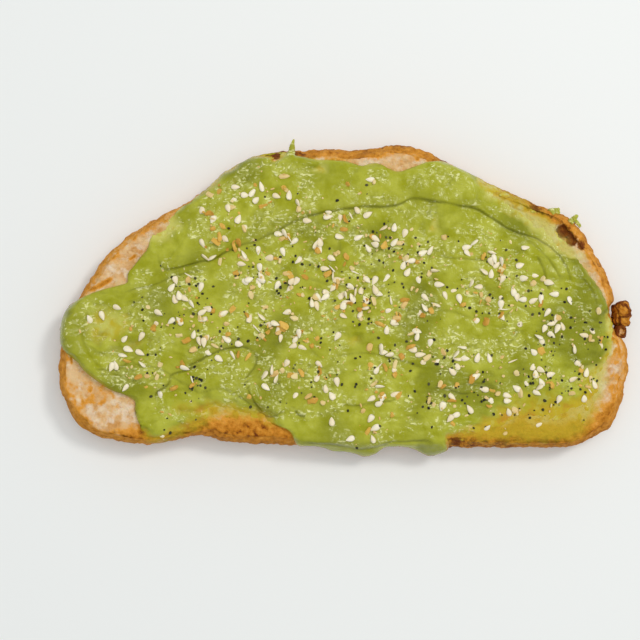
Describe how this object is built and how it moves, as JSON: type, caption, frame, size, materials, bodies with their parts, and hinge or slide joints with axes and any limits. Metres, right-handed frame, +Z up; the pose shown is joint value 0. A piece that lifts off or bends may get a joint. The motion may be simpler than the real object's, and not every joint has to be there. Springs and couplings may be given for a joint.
{
  "type": "avocado toast",
  "caption": "Slice of toasted country bread spread with mashed avocado, strewn with sesame, poppy seed, garlic and onion",
  "frame": {"origin": "middle of the underside's bounding box, on the face the toast rests on", "axes": "+X along the slice's length, +Y from the loaf's flat base to its domed crown, +Z up through the avocado"},
  "size_m": [0.1724, 0.094, 0.0181],
  "materials": {
    "toasted_bread": "dry, crisp browned crust and open crumb",
    "mashed_avocado": "moist, soft and lumpy, with a wet sheen",
    "sesame_seed": "smooth ivory hull",
    "poppy_seed": "blue-black, finely pitted",
    "dried_garlic": "dry, matt and rough",
    "dried_onion": "thin, brittle, slightly translucent flake"
  },
  "bodies": {
    "root": {"bread_slice": "toasted_bread", "avocado_spread": "mashed_avocado"}
  },
  "joints": []
}
